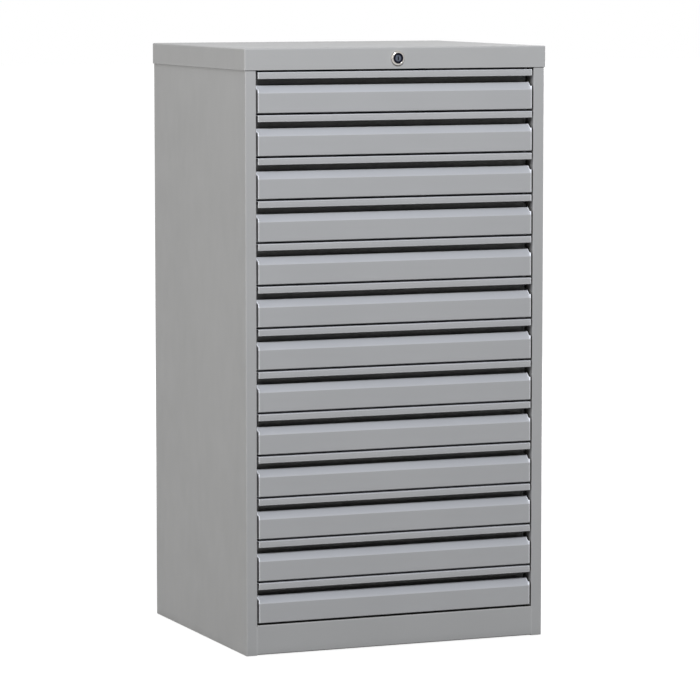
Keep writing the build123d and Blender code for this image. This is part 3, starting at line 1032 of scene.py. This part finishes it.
@dataclass
class CentralLock:
    """The lock's bright housing and the dark plug that turns in it."""

    ring_radius: float = 0.0108
    ring_edge: float = 0.0024
    barrel_radius: float = 0.009
    bore_radius: float = 0.008
    proud: float = 0.0036
    lead_in: float = 0.0003
    bore_end: float = 0.001
    shading: float = 40.0
    plug_radius: float = 0.00795
    plug_recess: float = 0.0007
    plug_rim: float = 0.0009
    plug_step: float = 0.0005
    disc_radius: float = 0.0046
    disc_height: float = 0.0004
    plug_eased: float = 0.0002
    keyway: Triple = (0.0016, 0.009, 0.006)
    keyway_rounding: float = 0.3
    facets: int = 72
    height: float = field(init=False)
    front: float = field(init=False)
    rear: float = field(init=False)

    def build(self) -> list[Object]:
        """Model the housing and the plug.

        Returns:
            Housing and plug.
        """
        low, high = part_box("lock_housing")
        self.height = (low.z + high.z) / 2
        self.front = low.y
        self.rear = high.y
        return [self.housing(), self.plug()]

    def drum(self, radius: float, front: float, rear: float, name: str) -> Object:
        """Add a cylinder on the lock's axis.

        Args:
            radius: its radius.
            front: Y of its front face.
            rear: Y of its rear face.
            name: its name.

        Returns:
            The cylinder.
        """
        centre = (0, (front + rear) / 2, self.height)
        return Bench.drum(name, radius, centre, rear - front, self.facets)

    def housing(self) -> Object:
        """Turn the housing: a rounded ring, a lead-in to the bore, and the barrel behind.

        Returns:
            The housing.
        """
        cap_face = self.front + self.proud
        piece = self.drum(self.ring_radius, self.front, cap_face, "lock_ring")
        Bench.edit(piece)
        Bench.pick(piece, "FACE", lambda face: face.normal.y > FACING)
        bpy.ops.mesh.inset(thickness=self.ring_radius - self.barrel_radius)
        Bench.extrude((0, self.rear - cap_face, 0))
        Bench.pick(piece, "FACE", lambda face: face.normal.y < -FACING)
        bpy.ops.mesh.inset(thickness=self.ring_radius - self.bore_radius - self.lead_in)
        bpy.ops.mesh.inset(thickness=self.lead_in, depth=-self.lead_in / 2)
        Bench.extrude((0, self.rear - self.front - self.bore_end, 0))
        bpy.ops.mesh.select_mode(type="EDGE")
        Bench.pick(piece, "EDGE", self.on_rim)
        bpy.ops.mesh.bevel(offset=self.ring_edge, segments=6, affect="EDGES")
        Bench.turn_outwards(piece)
        Bench.smooth(piece, self.shading)
        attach(piece, CARCASS)
        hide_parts("lock_housing")
        return piece

    def on_rim(self, edge: BMEdge) -> bool:
        """Whether an edge lies on the ring's front outer rim.

        Args:
            edge: an edge of the housing.

        Returns:
            True on the rim.
        """
        inside = self.ring_radius - 10 * TINY
        return all(
            abs(point.co.y - self.front) < TINY
            and math.hypot(point.co.x, point.co.z - self.height) > inside
            for point in edge.verts
        )

    def plug(self) -> Object:
        """Turn the plug: a dished face, a raised key disc and the keyway.

        Returns:
            The plug.
        """
        face_y = self.front + self.plug_recess
        piece = self.drum(self.plug_radius, face_y, self.rear, "key_plug")
        Bench.edit(piece)
        Bench.pick(piece, "FACE", lambda face: face.normal.y < -FACING)
        bpy.ops.mesh.inset(thickness=self.plug_rim)
        bpy.ops.mesh.inset(thickness=self.plug_step, depth=-self.plug_step)
        bpy.ops.mesh.inset(
            thickness=self.plug_radius - self.plug_rim - self.plug_step - self.disc_radius)
        Bench.extrude((0, -self.plug_step - self.disc_height, 0))
        width, depth, tall = self.keyway
        size = (width, 2 * depth, tall)
        cutter = Bench.block("keyway_cutter", (0, face_y, self.height), size)
        Bench.modify(cutter, "BEVEL", width=width * self.keyway_rounding, segments=3,
                     limit_method="ANGLE")
        Bench.fuse(piece, cutter, "DIFFERENCE")
        Bench.ease(piece, self.plug_eased)
        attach(piece, "lock_cylinder")
        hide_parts("lock_plug")
        return piece


@dataclass
class BackRivets:
    """Blind rivets down both rear flanges: a domed head with the mandrel's hole."""

    head_radius: float = 0.0032
    head_height: float = 0.0010
    mandrel_radius: float = 0.0009
    dome: float = 0.8
    facets: int = 32
    shading: float = 50.0

    def build(self) -> Object:
        """Model one rivet head and set a copy at each place.

        Returns:
            All heads as one piece.
        """
        node = frame["nodes"]["back_rivets"]
        low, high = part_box("back_rivets")
        centres = self.places(node, high.y)
        first = self.head(Vector((centres[0][0], high.y, centres[0][1])))
        heads = [first]
        for x, z in centres[1:]:
            shift = Vector((x - centres[0][0], 0, z - centres[0][1]))
            heads.append(Bench.copy(first, "rivet", shift))
        Bench.clear()
        for head in heads:
            head.select_set(True)
        bpy.context.view_layer.objects.active = first
        bpy.ops.object.join()
        piece = Bench.settle(bpy.context.object, "rivet_heads")
        Bench.smooth(piece, self.shading)
        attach(piece, CARCASS)
        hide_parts("back_rivets")
        return piece

    def places(self, node: Object, rear: float) -> list[tuple[float, float]]:
        """Find each head's centre from the points of the node's rear faces.

        Args:
            node: the CAD node of the rivets.
            rear: Y of the heads' outer faces.

        Returns:
            X and Z of every rivet.
        """
        apart = 4 * self.head_radius
        found: list[list[Vector]] = []
        for point in (vertex.co for vertex in node.data.vertices):
            if rear - point.y > self.head_height:
                continue
            near = [group for group in found if (group[0] - point).length < apart]
            if near:
                near[0].append(point)
            else:
                found.append([point])
        centres = []
        for group in found:
            xs = [point.x for point in group]
            zs = [point.z for point in group]
            centres.append(((min(xs) + max(xs)) / 2, (min(zs) + max(zs)) / 2))
        return sorted(centres)

    def head(self, place: Vector) -> Object:
        """Shape one rivet head from a disc.

        Args:
            place: centre of its outer face.

        Returns:
            The head.
        """
        centre = place - Vector((0, self.head_height / 2, 0))
        piece = Bench.drum("rivet", self.head_radius, centre, self.head_height, self.facets)
        Bench.edit(piece)
        Bench.pick(piece, "FACE", lambda face: face.normal.y > FACING)
        bpy.ops.mesh.inset(thickness=self.head_radius - self.mandrel_radius)
        Bench.extrude((0, -self.head_height / 2, 0))
        bpy.ops.mesh.select_mode(type="EDGE")
        Bench.pick(piece, "EDGE", lambda edge: all(
            abs(point.co.y - place.y) < TINY
            and math.hypot(point.co.x - place.x, point.co.z - place.z) > 2 * self.mandrel_radius
            for point in edge.verts))
        bpy.ops.mesh.bevel(offset=self.head_height * self.dome, segments=4, affect="EDGES")
        Bench.turn_outwards(piece)
        return piece


@dataclass(frozen=True)
class Softbox:
    """A rectangular lamp: place, aim, width and height in metres, watts, beam in degrees."""

    name: str
    place: Triple
    aim: Triple
    size: Span
    power: float
    colour: Triple
    spread: float = 180.0

    def hang(self) -> None:
        """Add the lamp, turned to the point that it faces."""
        data = bpy.data.lights.new(self.name, "AREA")
        data.spread = math.radians(self.spread)
        data.shape = "RECTANGLE"
        data.size, data.size_y = self.size
        data.energy = self.power
        data.color = self.colour
        lamp = bpy.data.objects.new(self.name, data)
        lamp.location = self.place
        beam = Vector(self.aim) - Vector(self.place)
        lamp.rotation_euler = beam.to_track_quat("-Z", "Y").to_euler()
        bpy.context.scene.collection.objects.link(lamp)


LAMPS = (
    Softbox("key_softbox", (-0.8, -3.4, 3.4), (0, -0.1, 1.2), (2.0, 0.7), 56.0,
            (0.965, 0.98, 1.0), spread=100.0),
    Softbox("back_softbox", (2.6, 2.6, 1.2), (0, 0, 0.5), (1.6, 1.2), 110.0, (1.0, 1.0, 1.0)),
    Softbox("left_softbox", (-2.6, -0.2, 1.5), (0, 0, 0.5), (1.4, 1.4), 27.0,
            (1.0, 0.985, 0.95)),
)


@dataclass
class Studio:
    """White floor and surroundings, soft lamps, and the camera at the photograph's angle."""

    camera_place: Triple = (-2.18204, -5.33708, 1.02703)
    turn: float = 22.294
    tilt: float = 5.918
    lens: float = 193.06
    sensor: float = 36.0
    farthest: float = 60.0
    floor_size: float = 60.0
    floor_white: float = 0.25
    floor_roughness: float = 0.9
    floor_gloss: float = 0.1
    floor_glow: float = 0.84
    horizon_glow: float = 1.0
    glow_start: float = 0.55
    glow_end: float = 2.2
    surround: float = 0.12

    def build(self) -> None:
        """Set up camera, floor, surroundings and lamps."""
        self.camera()
        self.floor()
        self.world()
        for lamp in LAMPS:
            lamp.hang()
        bpy.context.scene.view_settings.view_transform = "Standard"

    def camera(self) -> None:
        """Place the camera."""
        data = bpy.data.cameras.new("camera")
        data.lens = self.lens
        data.sensor_width = self.sensor
        data.sensor_fit = "HORIZONTAL"
        data.clip_end = self.farthest
        data.dof.use_dof = False
        camera = bpy.data.objects.new("camera", data)
        camera.location = self.camera_place
        camera.rotation_euler = (math.radians(90.0 - self.tilt), 0.0, math.radians(-self.turn))
        bpy.context.scene.collection.objects.link(camera)
        bpy.context.scene.camera = camera

    def floor(self) -> None:
        """Lay the pale floor, which glows a little for the camera so that it shows white."""
        Bench.clear()
        bpy.ops.mesh.primitive_plane_add(size=self.floor_size, location=(0, 0, 0))
        floor = Bench.settle(bpy.context.object, "studio_floor")
        graph = Graph("studio_floor_white")
        shader = graph.shader
        shader.inputs["Base Color"].default_value = (*[self.floor_white] * 3, 1.0)
        shader.inputs["Roughness"].default_value = self.floor_roughness
        shader.inputs["Specular IOR Level"].default_value = self.floor_gloss
        shader.inputs["Emission Color"].default_value = (1.0, 1.0, 1.0, 1.0)
        away = graph.add("VectorMath", operation="LENGTH")
        graph.join(graph.coordinates, "Object", away, 0)
        level = graph.ramp(away, "Value", (self.glow_start, self.glow_end),
                           (self.floor_glow, self.horizon_glow))
        level.interpolation_type = "SMOOTHSTEP"
        glow = graph.add("Math", operation="MULTIPLY")
        graph.tree.links.new(self.seen_directly(graph.tree), glow.inputs[0])
        graph.join(level, 0, glow, 1)
        graph.join(glow, 0, shader, "Emission Strength")
        floor.data.materials.append(graph.material)

    def world(self) -> None:
        """White surroundings for the camera and reflections, softer ones for the light."""
        world = bpy.data.worlds.new("studio_white")
        world.use_nodes = True
        tree = world.node_tree
        tree.nodes.clear()
        output = tree.nodes.new("ShaderNodeOutputWorld")
        background = tree.nodes.new("ShaderNodeBackground")
        background.inputs["Color"].default_value = (1.0, 1.0, 1.0, 1.0)
        strength = tree.nodes.new("ShaderNodeMapRange")
        strength.inputs["To Min"].default_value = self.surround
        strength.inputs["To Max"].default_value = 1.0
        tree.links.new(self.seen_directly(tree), strength.inputs["Value"])
        tree.links.new(strength.outputs[0], background.inputs["Strength"])
        tree.links.new(background.outputs[0], output.inputs["Surface"])
        bpy.context.scene.world = world

    def seen_directly(self, tree: NodeTree) -> NodeSocket:
        """Factor that is 1 for rays from the camera, reflections and clear glass.

        Args:
            tree: the node tree to add to.

        Returns:
            The factor's socket.
        """
        path = tree.nodes.new("ShaderNodeLightPath")
        total = tree.nodes.new("ShaderNodeMath")
        total.operation = "ADD"
        tree.links.new(path.outputs["Is Camera Ray"], total.inputs[0])
        tree.links.new(path.outputs["Is Glossy Ray"], total.inputs[1])
        capped = tree.nodes.new("ShaderNodeMath")
        capped.operation = "ADD"
        capped.use_clamp = True
        tree.links.new(total.outputs[0], capped.inputs[0])
        tree.links.new(path.outputs["Is Transmission Ray"], capped.inputs[1])
        return capped.outputs[0]


class Wardrobe:
    """Dresses new pieces and CAD nodes with the finish of their slot."""

    def __init__(self) -> None:
        """Build every finish once."""
        self.materials = {slot: finish.material() for slot, finish in FINISHES.items()}
        rows = frame["record"]["subparts"]
        self.slots = {row["node"]: Slot(row["material_slot"]) for row in rows}

    def dress(self, piece: Object, slot: Slot) -> None:
        """Give a new piece its finish and name its slot.

        Args:
            piece: the piece.
            slot: the slot that it takes its finish from.
        """
        piece.data.materials.clear()
        piece.data.materials.append(self.materials[slot])
        log.info("dressed %s as %s", piece.name, slot.value)

    def dress_nodes(self) -> None:
        """Give every CAD node that shows the finish of its slot."""
        for name, node in frame["nodes"].items():
            if node.hide_render:
                continue
            node.data.materials.clear()
            node.data.materials.append(self.materials[self.slots[name]])
            log.info("node %s wears %s", name, self.slots[name].value)


def main() -> None:
    """Build the cabinet's looks around its frame and light it."""
    logging.basicConfig(level=logging.INFO, format="%(name)s: %(message)s")
    wardrobe = Wardrobe()
    Studio().build()
    for piece in DrawerFronts().build():
        wardrobe.dress(piece, Slot.DRAWER)
    for piece in BodyShell().build():
        wardrobe.dress(piece, Slot.BODY)
    housing, plug = CentralLock().build()
    wardrobe.dress(housing, Slot.CHROME)
    wardrobe.dress(plug, Slot.PLUG)
    wardrobe.dress(BackRivets().build(), Slot.RIVET)
    wardrobe.dress_nodes()


if __name__ == "__main__":
    main()
